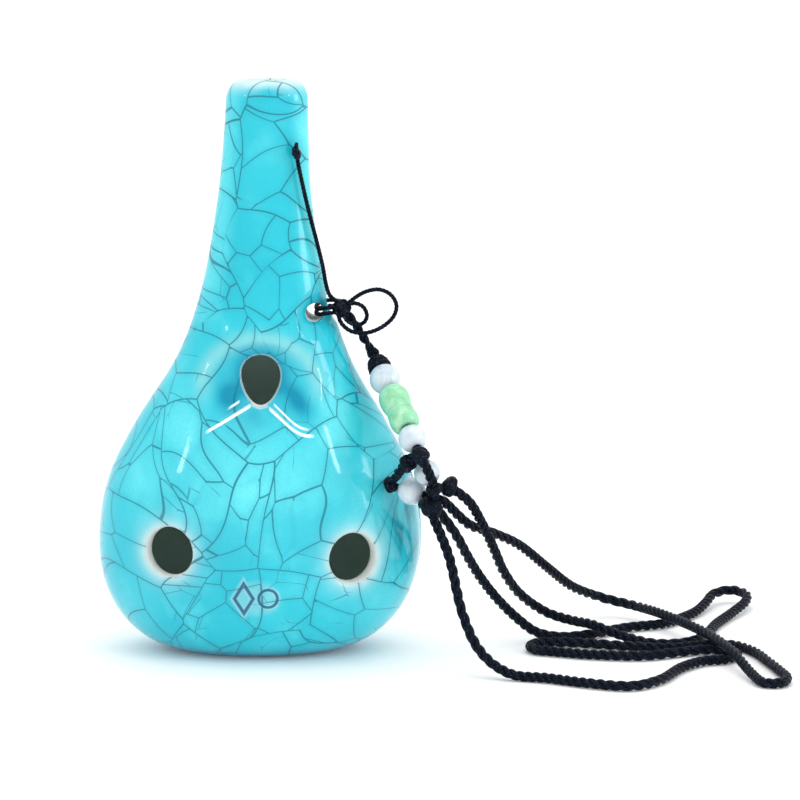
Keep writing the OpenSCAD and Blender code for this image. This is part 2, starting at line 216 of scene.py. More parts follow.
# The stamped mark is a lozenge beside a ring, in a paler patch, with lines this far each way.
MARK_Z, LOZENGE_X, LOZENGE, RING_X, RING_R = 16.8, 3.3, (2.2, 3.7), 2.4, 2.2
LOZENGE_SQUARE, MARK_HALF, MARK_PATCH_X, MARK_PATCH = 1.6, 0.15, 0.4, (6.4, 5.2)
# Where the front's drawing ends, going back through the body
FRONT_EDGE = (-4.0, -3.0)

# How the crack pattern is shifted, stretched and bent, and how far the probes that measure it
# along the skin stand out to both sides
CRACK_SHIFT, CRACK_STRETCH, CRACK_WARP, CRACK_PROBE = (41, 0, 17), (1, 0.55, 1), 24.0, 0.4
# Cell size and unevenness of the wide cracks, of those inside their cells, and of the finest
WIDE_CELLS, MIDDLE_CELLS, FINE_CELLS = (21, 0.85), (13.5, 0.7), (11, 0.7)
# Far enough to take each cell to another part of the pattern
CELL_THROW = 300.0

GLAZE_DEEP, GLAZE_BRIGHT, GLAZE_THIN = srgb(20, 186, 206), srgb(36, 197, 214), srgb(104, 230, 238)
GLAZE_SPECK, GLAZE_HOOD, GLAZE_POOL_AND_SHADE = srgb(14, 168, 192), srgb(150, 214, 214), srgb(0, 132, 166)
GLAZE_STREAK, GLAZE_EDGE, GLAZE_SEEP = srgb(10, 124, 146), srgb(214, 232, 230), srgb(6, 144, 168)
GLAZE_CRACK, GLAZE_MARK, GLAZE_STROKE_AND_HIGHLIGHT = srgb(0, 112, 130), srgb(4, 92, 130), srgb(244, 252, 252)
CLAY_DARK, CLAY_PALE = srgb(212, 220, 216), srgb(238, 242, 238)
CHAMBER_DARK, CHAMBER_PALE = srgb(178, 202, 194), srgb(188, 212, 202)

# ---- materials


class Nodes:
    """A material and short ways to add nodes to it."""

    def __init__(self, name):
        self.mat = bpy.data.materials.new(name)
        self.mat.use_nodes = True
        self.tree = self.mat.node_tree
        self.shader = self.tree.nodes["Principled BSDF"]

    def add(self, kind, settings=(), **inputs):
        node = self.tree.nodes.new("ShaderNode" + kind)
        for key, value in dict(settings).items():
            setattr(node, key, value)
        for key, value in inputs.items():
            self.feed(node, key.replace("_", " "), value)
        return node

    def feed(self, node, key, value):
        socket = node.inputs[key]
        if isinstance(value, bpy.types.NodeSocket):
            self.tree.links.new(value, socket)
        else:
            socket.default_value = value

    def math(self, operation, a, b=None, clamp=False):
        node = self.add("Math", {"operation": operation, "use_clamp": clamp})
        self.feed(node, 0, a)
        if b is not None:
            self.feed(node, 1, b)
        return node.outputs[0]

    def times(self, a, b, clamp=False):
        return self.math("MULTIPLY", a, b, clamp)

    def plus(self, a, b, clamp=False):
        return self.math("ADD", a, b, clamp)

    def minus(self, a, b):
        return self.math("SUBTRACT", a, b)

    def vector(self, operation, a, b):
        """Add or subtract two vectors, or scale one by a number."""
        node = self.add("VectorMath", {"operation": operation})
        self.feed(node, 0, a)
        self.feed(node, "Scale" if operation == "SCALE" else 1, b)
        return node.outputs[0]

    def ramp(self, value, low, high, out_low=0.0, out_high=1.0):
        """value from low to high, smoothly turned into out_low to out_high."""
        node = self.add("MapRange", {"interpolation_type": "SMOOTHSTEP"})
        for key, v in (("Value", value), ("From Min", low), ("From Max", high),
                       ("To Min", out_low), ("To Max", out_high)):
            self.feed(node, key, v)
        return node.outputs[0]

    def mix(self, share, a, b):
        node = self.add("Mix", {"data_type": "RGBA"})
        colours = [i for i, s in enumerate(node.inputs) if s.type == "RGBA"]
        self.feed(node, "Factor", share)
        self.feed(node, colours[0], a)
        self.feed(node, colours[1], b)
        return [s for s in node.outputs if s.type == "RGBA"][0]

    def place(self, stretch=(1, 1, 1), shift=(0, 0, 0)):
        """The point on the object in millimetres, stretched and shifted."""
        where = self.add("TexCoord").outputs["Object"]
        node = self.add("Mapping")
        self.feed(node, "Vector", where)
        node.inputs["Scale"].default_value = tuple(s / MM for s in stretch)
        node.inputs["Location"].default_value = shift
        return node.outputs["Vector"]

    def noise(self, vector, scale, detail=2.0, roughness=0.5, colour=False):
        node = self.add("TexNoise", Vector=vector, Scale=scale, Detail=detail,
                        Roughness=roughness)
        return node.outputs["Color" if colour else "Fac"]

    def attribute(self, name):
        return self.add("Attribute", {"attribute_name": name}).outputs["Fac"]

    def bump(self, height, strength, distance_mm, under=None):
        node = self.add("Bump", Height=height, Strength=strength, Distance=distance_mm * MM)
        if under is not None:
            self.feed(node, "Normal", under)
        return node.outputs["Normal"]

    def set(self, **inputs):
        for key, value in inputs.items():
            self.feed(self.shader, key.replace("_", " "), value)


def drawn_lines(m, p):
    """Masks of the labium's bright ridge lines, partly painted highlight, and of the small stamped
    mark.
    """
    xyz = m.add("SeparateXYZ", Vector=p).outputs
    x, y, z = xyz["X"], xyz["Y"], xyz["Z"]
    front = m.ramp(y, *FRONT_EDGE, 1.0, 0.0)
    u = m.minus(x, RIDGE_X)
    far = m.math("ABSOLUTE", u)
    right = m.math("GREATER_THAN", u, 0.0)

    def by_side(left_value, right_value):
        return m.plus(m.times(right, right_value - left_value), left_value)
    level = m.math("SMOOTH_MIN", far, by_side(*RIDGE_REACH))
    level.node.inputs[2].default_value = RIDGE_BEND
    down = m.times(level, by_side(*RIDGE_FALL))
    over = m.minus(m.plus(z, down), RIDGE_Z)
    over = m.times(over, RIDGE_SQUARE)

    def stroke(side, at, thick, start, end):
        off = m.math("ABSOLUTE", m.minus(over, at))
        line = m.ramp(off, thick, thick + STROKE_SOFT, 1.0, 0.0)
        part = m.times(m.ramp(far, start, start + STROKE_FADE_IN),
                       m.ramp(far, end - STROKE_FADE_OUT, end, 1.0, 0.0))
        half = right if side > 0 else m.minus(1.0, right)
        return m.times(m.times(line, part), half)

    strokes = stroke(*STROKES[0])
    for more in STROKES[1:]:
        strokes = m.math("MAXIMUM", strokes, stroke(*more))
    low = m.math("ABSOLUTE", m.minus(z, MARK_Z))
    aside = m.math("ABSOLUTE", m.plus(x, LOZENGE_X))
    lozenge = m.plus(m.math("DIVIDE", aside, LOZENGE[0]), m.math("DIVIDE", low, LOZENGE[1]))
    lozenge = m.times(m.math("ABSOLUTE", m.minus(lozenge, 1.0)), LOZENGE_SQUARE)
    rx = m.minus(x, RING_X)
    reach = m.math("SQRT", m.plus(m.times(rx, rx), m.times(low, low)))
    ring = m.math("ABSOLUTE", m.minus(reach, RING_R))
    away = m.math("MINIMUM", lozenge, ring)
    mark = m.times(m.ramp(away, 0.22, 0.46, 1.0, 0.0), front)
    wide_x = m.math("DIVIDE", m.plus(x, MARK_PATCH_X), MARK_PATCH[0])
    wide_z = m.math("DIVIDE", low, MARK_PATCH[1])
    about = m.plus(m.times(wide_x, wide_x), m.times(wide_z, wide_z))
    halo = m.times(m.ramp(about, 0.3, 1.0, 0.5, 0.0), front)
    close = m.times(m.ramp(away, 0.4, 1.1, 0.8, 0.0), front)
    return m.times(strokes, front), mark, m.math("MAXIMUM", halo, close)


def glaze_material():
    """Turquoise crackle glaze: pooled darker in hollows, thin and white on edges, with painted
    shade in the dark band along the foot and painted highlights in the white lines on the labium's
    ridge and round the lip.
    """
    m = Nodes("crackle_glaze")
    p = m.place()
    pool, edge, bare, streak, thin, hood = (
        m.attribute(n) for n in ("pool", "edge", "bare", "streak", "thin", "hood"))
    strokes, mark, mark_halo = drawn_lines(m, p)
    wander = m.vector("SUBTRACT", m.noise(p, 0.035, 0.0, 0.4, colour=True), (0.5, 0.5, 0.5))
    bent = m.vector("ADD", m.place(CRACK_STRETCH, CRACK_SHIFT),
                    m.vector("SCALE", wander, CRACK_WARP))
    normal = m.add("TexCoord").outputs["Normal"]
    probes = [m.vector("SCALE", normal, way) for way in (-CRACK_PROBE, CRACK_PROBE)]

    def cells(vector, size, uneven):
        """Distance along the skin to the cell's edge, and a colour for the cell."""
        def to_edge(at):
            node = m.add("TexVoronoi", {"feature": "DISTANCE_TO_EDGE"}, Vector=at,
                         Scale=1 / size, Randomness=uneven)
            return m.times(node.outputs["Distance"], size)
        here = to_edge(vector)
        slips = [m.minus(to_edge(m.vector("ADD", vector, probe)), here) for probe in probes]
        slip = m.math("DIVIDE", m.math("MAXIMUM", *slips), CRACK_PROBE)
        level = m.math("SQRT", m.math("MAXIMUM", m.minus(1.0, m.times(slip, slip)), 0.02))
        middles = m.add("TexVoronoi", {"feature": "F1"}, Vector=vector, Scale=1 / size,
                        Randomness=uneven)
        along = m.plus(m.math("DIVIDE", here, level), m.ramp(slip, 0.84, 0.97, 0.0, 0.3))
        return along, middles.outputs["Color"]

    def inside(colour, vector):
        """The pattern's coordinates, thrown to a new place in each cell."""
        return m.vector("ADD", vector, m.vector("SCALE", colour, CELL_THROW))

    wide, wide_cell = cells(bent, *WIDE_CELLS)
    middle, middle_cell = cells(inside(wide_cell, bent), *MIDDLE_CELLS)
    fine = cells(inside(middle_cell, inside(wide_cell, bent)), *FINE_CELLS)[0]
    strength = m.noise(p, 0.09, 1.0)
    main = m.ramp(wide, 0.09, 0.22, 1.0, 0.0)
    second = m.ramp(middle, 0.08, 0.21, 0.92, 0.0)
    third = m.times(m.ramp(fine, 0.05, 0.17, 0.7, 0.0), m.ramp(strength, 0.54, 0.6))
    crack = m.math("MAXIMUM", m.math("MAXIMUM", main, second), third)
    seep = m.ramp(m.math("MINIMUM", wide, middle), 0.0, 1.6, 1.0, 0.0)

    cloud = m.noise(p, 0.03, 3.0, 0.5)
    colour = m.mix(m.ramp(cloud, 0.35, 0.65), GLAZE_DEEP, GLAZE_BRIGHT)
    patch = m.ramp(m.noise(p, 0.1, 2.0), 0.45, 0.8, 0.0, 0.35)
    colour = m.mix(m.plus(thin, patch, clamp=True), colour, GLAZE_THIN)
    speck = m.noise(p, 1.6, 3.0, 0.7)
    colour = m.mix(m.ramp(speck, 0.4, 0.75, 0.0, 0.2), colour, GLAZE_SPECK)
    colour = m.mix(m.times(hood, 0.6), colour, GLAZE_HOOD)
    # Pooled glaze, darker, with painted shade in the band along the foot
    colour = m.mix(m.times(pool, 0.9, clamp=True), colour, GLAZE_POOL_AND_SHADE)
    streaks = m.noise(m.place((1, 1, 0.22)), 0.35, 3.0)
    streaked = m.times(streak, m.ramp(streaks, 0.4, 0.6, 0.25, 1.0))
    colour = m.mix(streaked, colour, GLAZE_STREAK)
    pale_edge = m.math("MAXIMUM", edge, m.times(mark_halo, 0.42))
    colour = m.mix(pale_edge, colour, GLAZE_EDGE)
    colour = m.mix(m.times(seep, 0.16), colour, GLAZE_SEEP)
    colour = m.mix(m.times(crack, 0.86), colour, GLAZE_CRACK)
    colour = m.mix(m.times(mark, 0.9), colour, GLAZE_MARK)
    # Painted highlight: bright white lines along the labium's ridge, partly thin glaze there
    colour = m.mix(m.times(strokes, 0.95), colour, GLAZE_STROKE_AND_HIGHLIGHT)
    clay = m.mix(m.noise(p, 0.8, 4.0, 0.6), CLAY_DARK, CLAY_PALE)
    colour = m.mix(m.ramp(bare, 0.2, 0.5), colour, clay)
    dim = m.mix(m.noise(p, 0.12, 2.0), CHAMBER_DARK, CHAMBER_PALE)
    colour = m.mix(m.ramp(bare, 0.62, 0.9), colour, dim)

    rough = m.ramp(bare, 0.2, 0.5, 0.16, 0.8)
    rough = m.plus(rough, m.times(crack, 0.12))
    skin = m.bump(m.noise(p, 0.16, 2.0), 0.25, 0.5)
    skin = m.bump(m.noise(p, 2.2, 2.0), 0.05, 0.05, skin)
    skin = m.bump(m.times(crack, -1.0), 0.12, 0.1, skin)
    m.set(Base_Color=colour, Roughness=rough, Normal=skin)
    dull = m.ramp(pool, 0.1, 0.9, 1.0, 0.25)
    m.set(Coat_Weight=m.times(m.ramp(bare, 0.2, 0.5, 0.5, 0.0), dull),
          Specular_IOR_Level=0.18, Coat_Roughness=0.04, IOR=1.5)
    return m.mat


def cord_material(name, shine):
    """Black waxed fibre with painted glints. U runs round a strand and V along it, both in
    millimetres.
    """
    m = Nodes(name)
    uv = m.add("TexCoord").outputs["UV"]
    fibre = m.add("Mapping")
    m.feed(fibre, "Vector", uv)
    fibre.inputs["Scale"].default_value = (9, 1.1, 1)
    fibre.inputs["Rotation"].default_value = (0, 0, 0.5)
    threads = m.noise(fibre.outputs["Vector"], 1.3, 3.0, 0.6)
    p = m.place()
    colour = m.mix(m.ramp(threads, 0.35, 0.7), srgb(0, 3, 10), srgb(9, 17, 34))
    # Painted glints: pale bluish specks mixed into the colour stand in for highlights on the
    # fibres; the same specks are glossier
    glint = m.noise(p, 2.8, 3.0, 0.75)
    colour = m.mix(m.ramp(glint, 0.56, 0.68, 0.0, 0.8), colour, srgb(72, 92, 116))
    rough = m.ramp(glint, 0.4, 0.75, 0.42 - shine, 0.28 - shine / 2)
    m.set(Base_Color=colour, Roughness=rough, Normal=m.bump(threads, 0.8, 0.16),
          Specular_IOR_Level=0.08)
    return m.mat


def stone_material(name, deep, pale, veins):
    """Milky polished stone that light passes a little way into."""
    m = Nodes(name)
    p = m.place()
    cloud = m.noise(p, 0.22, 4.0, 0.6)
    colour = m.mix(m.ramp(cloud, 0.3, 0.7), deep, pale)
    vein = m.noise(m.place((1, 1, 0.4)), 0.5, 5.0, 0.65)
    colour = m.mix(m.ramp(vein, 0.52, 0.66, 0.0, 0.35), colour, veins)
    m.set(Base_Color=colour, Normal=m.bump(m.noise(p, 1.2, 2.0), 0.06, 0.05))
    m.set(Roughness=0.12, Coat_Weight=0.6, Coat_Roughness=0.04, IOR=1.52,
          Subsurface_Weight=0.45, Subsurface_Scale=0.0025, Subsurface_Radius=(0.9, 1.0, 1.0))
    return m.mat


GLAZE = glaze_material()
WAXED = cord_material("waxed_cord", 0.12)
ROPE = cord_material("twisted_rope", 0.05)
WHITE_STONE = stone_material("white_stone", srgb(186, 202, 214), srgb(214, 225, 232),
                             srgb(236, 242, 244))
GREEN_STONE = stone_material("green_stone", srgb(118, 196, 144), srgb(156, 220, 178),
                             srgb(204, 238, 214))

# ---- mesh tools


def make_object(name, verts_mm, faces, material, body, uvs=None):
    mesh = bpy.data.meshes.new(name)
    mesh.from_pydata((np.asarray(verts_mm, float) * MM).tolist(), [], faces)
    if uvs is not None:
        layer = mesh.uv_layers.new(name="uv")
        layer.data.foreach_set("uv", np.asarray(uvs, float).reshape(-1))
    mesh.materials.append(material)
    mesh.polygons.foreach_set("use_smooth", [True] * len(mesh.polygons))
    mesh.update()
    obj = bpy.data.objects.new(name, mesh)
    bpy.context.scene.collection.objects.link(obj)
    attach(obj, body)
    return obj


def step_up(t):
    """0 below 0, 1 above 1, and smooth between."""
    t = np.clip(t, 0, 1)
    return t * t * (3 - 2 * t)


def bell(t):
    """1 at 0, falling smoothly to 0 either way."""
    return np.exp(-t ** 2)


def curve_point(a, b, c, d, t):
    return 0.5 * (2 * b + t * (c - a) + t * t * (2 * a - 5 * b + 4 * c - d)
                  + t ** 3 * (3 * b - a - 3 * c + d))


def distances(path):
    """How far along the path each of its points is."""
    return np.concatenate([[0], np.cumsum(norm(np.diff(path, axis=0), axis=1))])


def evenly(points, step):
    """Points a step apart along the smooth curve through the given points."""
    p = np.asarray(points, float)
    dense = [p[0]]
    for i in range(len(p) - 1):
        a, d = p[max(i - 1, 0)], p[min(i + 2, len(p) - 1)]
        dense += [curve_point(a, p[i], p[i + 1], d, t / 16) for t in range(1, 17)]
    dense = np.array(dense)
    far = distances(dense)
    n = max(int(round(far[-1] / step)), 2)
    return np.stack([np.interp(np.linspace(0, far[-1], n + 1), far, dense[:, k])
                     for k in range(3)], axis=1)


def length_of(path):
    return float(distances(path)[-1])


def clear_of(axis):
    """A direction well away from axis."""
    return np.array([0, 0, 1.0] if abs(axis[2]) < 0.9 else [1.0, 0, 0])


def carried_frames(path):
    """Two directions square to the path at each of its points, without twist."""
    forward = np.gradient(path, axis=0)
    forward /= norm(forward, axis=1)[:, None]
    side = np.zeros_like(path)
    last = clear_of(forward[0])
    for i, f in enumerate(forward):
        last = unit(last - (last @ f) * f)
        side[i] = last
    return side, np.cross(forward, side)


# One strand's share of the thickness of two or three, how far and over what length the twist
# drifts, and a knot's steps to a turn, sway, spin and ripple
STRAND_SHARE, TWIST_DRIFT, TWIST_LENGTH = {2: 0.54, 3: 0.5}, 0.3, 9
TURN_STEPS, KNOT_SWAY, KNOT_SPIN, KNOT_RIPPLE = 26, 1.5, 1.25, 0.16
BALL_SIDES = 16


class Strands:
    """Round strands gathered into one mesh."""

    def __init__(self):
        self.verts, self.faces, self.uvs = [], [], []

    def sweep(self, path, radius, sides=8):
        """A tube along path. radius is one number or one for each point."""
        radius = np.broadcast_to(np.asarray(radius, float), len(path))
        u, v = carried_frames(path)
        angle = 2 * np.pi * np.arange(sides) / sides
        ring = (np.cos(angle)[None, :, None] * u[:, None, :]
                + np.sin(angle)[None, :, None] * v[:, None, :])
        points = path[:, None, :] + radius[:, None, None] * ring
        base, n = len(self.verts), len(path)
        self.verts += points.reshape(-1, 3).tolist()
        far = distances(path)
        around = 2 * np.pi * float(radius.mean())
        for i in range(n - 1):
            for k in range(sides):
                a, b = base + i * sides + k, base + i * sides + (k + 1) % sides
                self.faces.append((a, b, b + sides, a + sides))
                u0, u1 = around * k / sides, around * (k + 1) / sides
                self.uvs += [(u0, far[i]), (u1, far[i]), (u1, far[i + 1]), (u0, far[i + 1])]
        for i, order in ((0, range(sides - 1, -1, -1)), (n - 1, range(sides))):
            self.faces.append(tuple(base + i * sides + k for k in order))
            self.uvs += [(0, far[i])] * sides

    def twist(self, path, diameter, strands, pitch, sides=8):
        """Strands wound round each other along path, as thick together as diameter."""
        diameter = np.broadcast_to(np.asarray(diameter, float), len(path))
        far = distances(path)
        u, v = carried_frames(path)
        thick = diameter / 2 * STRAND_SHARE[strands]
        away = diameter / 2 - thick
        for k in range(strands):
            drift = TWIST_DRIFT * np.sin(far / TWIST_LENGTH)
            turn = 2 * np.pi * (far / pitch + drift + k / strands)
            line = path + away[:, None] * (np.cos(turn)[:, None] * u
                                           + np.sin(turn)[:, None] * v)
            self.sweep(line, thick, sides)

    def ball(self, at, radius, axis, tall, rings=10):
        axis = unit(axis)
        reach = radius * tall
        t = np.linspace(0.02, np.pi - 0.02, rings)
        path = at - np.cos(t)[:, None] * axis * reach
        self.sweep(path, radius * np.sin(t), BALL_SIDES)

    def build(self, name, material):
        return make_object(name, self.verts, self.faces, material, ROOT, self.uvs)


def across(axis):
    """Two directions square to axis and to each other."""
    axis = unit(axis)
    start = clear_of(axis)
    u = unit(start - (start @ axis) * axis)
    return axis, u, np.cross(axis, u)


def wound_knot(name, node, at, radius, cord_d, turns, axis, tall, lean_deg=55, phase=0.0):
    """A knot as turns of cord drawn tight over a core, leaning this way and that."""
    axis, u, v = across(axis)
    s = Strands()
    s.ball(at, radius - cord_d * 0.45, axis, tall, rings=12)
    t = np.linspace(0, 1, TURN_STEPS * turns + 1)
    a = 2 * np.pi * turns * t + phase
    slope = np.radians(lean_deg) * np.cos(2 * np.pi * t * KNOT_SWAY + phase)
    spin = np.pi * KNOT_SPIN * t
    flat_u = np.cos(spin)[:, None] * u + np.sin(spin)[:, None] * v
    flat_v = -np.sin(spin)[:, None] * u + np.cos(spin)[:, None] * v
    tipped = np.cos(slope)[:, None] * flat_v + np.sin(slope)[:, None] * axis * tall
    r = radius - cord_d / 2 + KNOT_RIPPLE * cord_d * np.cos(3 * a + 2 * phase)
    line = at + r[:, None] * (np.cos(a)[:, None] * flat_u + np.sin(a)[:, None] * tipped)
    s.sweep(line, cord_d / 2, 10)
    obj = s.build(name, WAXED)
    if node:
        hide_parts(node)


# ---- cords

# How long a cord takes to narrow at a bead, each twist's pitch and each route's step, and the
# middle and reach of the beads inside which a cord is narrowed
NARROWING = 1.2
TIE_PITCH, DOUBLE_PITCH, CLUSTER_PITCH, ROPE_PITCH = 2.6, 7.5, 6.6, 7.2
TIE_STEP, CLUSTER_STEP, ROPE_STEP = 0.25, 0.3, 0.32
STACK_MIDDLE, STACK_REACH, BEAD_MIDDLE, BEAD_REACH = 19, 16, 5.6, 4.6


def narrowed(path, full, centre, reach):
    """The cord's diameter along path, thinner within reach of centre, where a bead is."""
    away = norm(path - centre, axis=1)
    return full + (CORE_DRAWN - full) * step_up((reach + NARROWING - away) / NARROWING)


def lay_cord(name, material, path, drawn, strands, pitch, nodes,
             sides=8):
    """Strands wound along path as thick as drawn."""
    s = Strands()
    s.twist(path, drawn, strands, pitch, sides)
    obj = s.build(name, material)
    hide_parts(*nodes)
    length_of(path) * MM


def lay_rope(name, route, step, pitch, bead_at, nodes):
    """Three-strand rope along route, drawn thin where it passes a bead, if it does."""
    path = evenly(route, step)
    drawn = ROPE_FULL
    if bead_at is not None:
        drawn = narrowed(path, ROPE_FULL, bead_at, BEAD_REACH)
    lay_cord(name, ROPE, path, drawn, 3, pitch, nodes)


def make_cords():
    for name, points, node in (
            ("waxed_tail", [TIE_KNOT, *TAIL, TAIL_END], "tail_cord"),
            ("waxed_bow", [*BOW_LARGE, TIE_KNOT, *BOW_SMALL], "bow_cord"),
            ("strap_turns", [*STRAP_UPPER, TIE_KNOT + [0, 0.8, 0], *STRAP_LOWER],
             "strap_loop_cord")):
        lay_cord(name, WAXED, evenly(points, TIE_STEP), TIE_D, 3, TIE_PITCH, [node])

    stack = [STACK_START + k * STACK_DIR for k in (0, 3, 10, 20, 30, 34.7)]
    path = evenly([TIE_KNOT, *STRAND, *stack], TIE_STEP)
    drawn = narrowed(path, 2 * TIE_D, STACK_START + STACK_MIDDLE * STACK_DIR, STACK_REACH)
    lay_cord("bead_cord", WAXED, path, drawn, 2, DOUBLE_PITCH,
             ["bead_strand", "bead_core_cord"], sides=10)

    route = [NECK_KNOT, LINK_KNOT, *LINK[::-1], GATHERING, *BRANCH, BRANCH_END,
             BRANCH_END + 3 * FRONT_DIR, BRANCH_END + 8.4 * FRONT_DIR, NECK_KNOT]
    lay_rope("cluster_cord", route, CLUSTER_STEP, CLUSTER_PITCH,
             BRANCH_END + BEAD_MIDDLE * FRONT_DIR, ["link_cord", "branch_cord", "front_core_cord"])

    route = [GATHERING, *REAR, REAR_BOTTOM, NECK_KNOT, *BACK_LOOP[::-1], SIDE_KNOT]
    lay_rope("neck_rope_far", route, ROPE_STEP, ROPE_PITCH, (REAR_TOP + REAR_BOTTOM) / 2,
             ["rear_cord", "rear_core_cord", "neck_rope_back"])
    lay_rope("neck_rope_near", [NECK_KNOT, *FRONT_LOOP, NECK_KNOT], ROPE_STEP, ROPE_PITCH,
             None, ["neck_rope_front"])


make_cords()

# ---- knots

# Each knot's piece, node, middle, radius, thickness of cord, turns, axis, height to width, lean
# in degrees and phase
KNOTS = [
    ("tie_knot_turns", "tie_knot", TIE_KNOT, 2.2, 1.1, 4, (0.5, -0.6, 0.5), 1.1),
    ("tail_knot_turns", "tail_end_knot", TAIL_END, 1.45, 1.05, 3, (0.9, 0.1, 0.25), 1.15, 30),
    ("stop_knot_turns", "stop_knot", STACK_START, 1.45, 1.0, 3, STACK_DIR, 1.0, 35),
    ("gathering_knot_turns", "gathering_knot", GATHERING, 2.2, 1.15, 5, (0.5, -0.5, 0.6),
     1.0, 35, 0.6),
    ("branch_wedge_turns", None, BRANCH_WEDGE, 2.05, 1.3, 4, (-0.75, 0.4, -0.55), 1.15, 35, 0.9),
    ("branch_knot_turns", "branch_end_knot", BRANCH_END, 1.9, 1.2, 4, (0.75, -0.3, 0.6),
     1.15, 25, 1.2),
    ("link_knot_turns", "link_knot", LINK_KNOT, 2.0, 1.25, 4, (0.3, 0.2, -1), 1.05, 30, 2.0),
    ("neck_knot_turns", "neck_knot", NECK_KNOT + [-0.6, -0.7, -0.6], 2.9, 1.5, 5,
     (0.6, 0.35, 1), 1.12, 30, 0.4),
    ("side_knot_turns", "side_knot", SIDE_KNOT, 2.4, 1.5, 4, (1, 0.3, -0.6), 1.08, 30, 1.5),
]
# The cap is cord wound from the stop knot down over the first bead in a widening cone.
CAP_TURNS, CAP_STEPS, CAP_RADIUS, CAP_CORD_R = 3.6, 150, (0.5, 2.4), 0.54
CAP_CORE_AT, CAP_CORE_R, CAP_CORE_TALL, CAP_CROWDING = 4.0, 1.95, 0.8, 1.2
# The tail's cut end, from its knot, and the end's radius at each point
TAIL_TIP, TAIL_TIP_R = [[0, 0, 0.6], [-0.05, -0.05, 1.6], [0.1, -0.1, 2.5]], [0.62, 0.55, 0.34]


def make_knots():
    for knot in KNOTS:
        wound_knot(*knot)
    axis, u, v = across(STACK_DIR)
    s = Strands()
    share = np.linspace(0, 1, CAP_STEPS)
    turns = 2 * np.pi * CAP_TURNS * share
    along = CAP_SPAN[0] + (CAP_SPAN[1] - CAP_SPAN[0]) * share ** CAP_CROWDING
    reach = CAP_RADIUS[0] + (CAP_RADIUS[1] - CAP_RADIUS[0]) * np.sqrt(1 - (1 - share) ** 2)
    line = (STACK_START + along[:, None] * axis
            + reach[:, None] * (np.cos(turns)[:, None] * u + np.sin(turns)[:, None] * v))
    s.sweep(line, CAP_CORD_R, 10)
    s.ball(STACK_START + CAP_CORE_AT * axis, CAP_CORE_R, axis, CAP_CORE_TALL)
    cap = s.build("cap_knot_turns", WAXED)
    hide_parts("cap_knot")
    s = Strands()
    s.sweep(TAIL_END + np.array(TAIL_TIP), TAIL_TIP_R, 10)
    s.build("tail_tip", WAXED)


make_knots()

# ---- beads

BEAD_SIDES, BORE = 72, CORE_D / 2 + 0.1
# A bead's rim: how wide it is round the bore, how far in it goes, and its soft step
RIM, RIM_IN, RIM_STEP, RIM_SHARE, END_INSET = 0.28, 0.12, 0.03, 0.4, 0.05
# Each round bead's node, the start and direction of its cord, how far along it sits, and its
# diameter
ROUND_BEADS = [
    ("upper_white_bead", STACK_START, STACK_DIR, 9.1, 7.4),
    ("lower_white_bead", STACK_START, STACK_DIR, 29.2, 6.7),
    ("front_white_bead", BRANCH_END, FRONT_DIR, 5.6, 6.8),
    ("rear_white_bead", REAR_TOP, REAR_DIR, float(norm(REAR_BOTTOM - REAR_TOP)) / 2,
     6.2),
]
# The gourd's ends along the cord and its largest radius, and its outline as (share of its
# length, share of that radius), with a small ring at its waist
GOURD_SPAN, GOURD_R, GOURD_STEP = (12.95, 25.7), 3.7, 0.16
GOURD = [(0, 0.5), (0.02, 0.64), (0.05, 0.78), (0.1, 0.9), (0.15, 0.96), (0.21, 0.99),
         (0.27, 1), (0.34, 0.985), (0.4, 0.96), (0.46, 0.915), (0.51, 0.87), (0.545, 0.84),
         (0.57, 0.83), (0.588, 0.86), (0.605, 0.89), (0.622, 0.865), (0.64, 0.84),
         (0.662, 0.87), (0.69, 0.9), (0.74, 0.935), (0.79, 0.95), (0.84, 0.945),
         (0.88, 0.92), (0.92, 0.88), (0.95, 0.82), (0.98, 0.72), (1, 0.62)]


def turned_piece(name, node, start, direction, outline, material):
    """A solid of revolution with a bore, from (distance along, radius) points."""
    axis, u, v = across(direction)
    outline = np.asarray(outline, float)
    ring = np.concatenate([outline, [[outline[-1, 0] - END_INSET, BORE],
                                     [outline[0, 0] + END_INSET, BORE]]])
    n = len(ring)
    verts, faces = [], []
    for k in range(BEAD_SIDES):
        a = 2 * np.pi * k / BEAD_SIDES
        way = np.cos(a) * u + np.sin(a) * v
        for x, r in ring:
            verts.append(start + x * axis + r * way)
    for k in range(BEAD_SIDES):
        j = (k + 1) % BEAD_SIDES
        for i in range(n):
            i2 = (i + 1) % n
            faces.append((k * n + i, j * n + i, j * n + i2, k * n + i2))
    obj = make_object(name, verts, faces, material, node.replace("_bead", "_bead_body"))
    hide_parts(node)


def round_outline(middle, radius, steps=40):
    """A ball's outline with softened rims where the bore comes out."""
    first = math.asin((BORE + RIM) / radius)
    t = np.linspace(first, math.pi - first, steps)
    points = [(middle - radius * math.cos(a), radius * math.sin(a)) for a in t]
    low, high = points[0], points[-1]
    step = BORE + RIM * RIM_SHARE
    ends = [(low[0] + RIM_IN, BORE), (low[0] + RIM_STEP, step)]
    tail = [(high[0] - RIM_STEP, step), (high[0] - RIM_IN, BORE)]
    return ends + points + tail


def make_beads():
    for node, start, direction, at, d in ROUND_BEADS:
        turned_piece(node.replace("bead", "stone_ball"), node, start, direction,
                     round_outline(at, d / 2), WHITE_STONE)
    low, high = GOURD_SPAN
    smooth = evenly([[x * (high - low), y * GOURD_R, 0] for x, y in GOURD], GOURD_STEP)
    turned_piece("gourd_stone", "gourd_bead", STACK_START, STACK_DIR,
                 [(low + p[0], p[1]) for p in smooth], GREEN_STONE)


make_beads()

# ---- the fired body

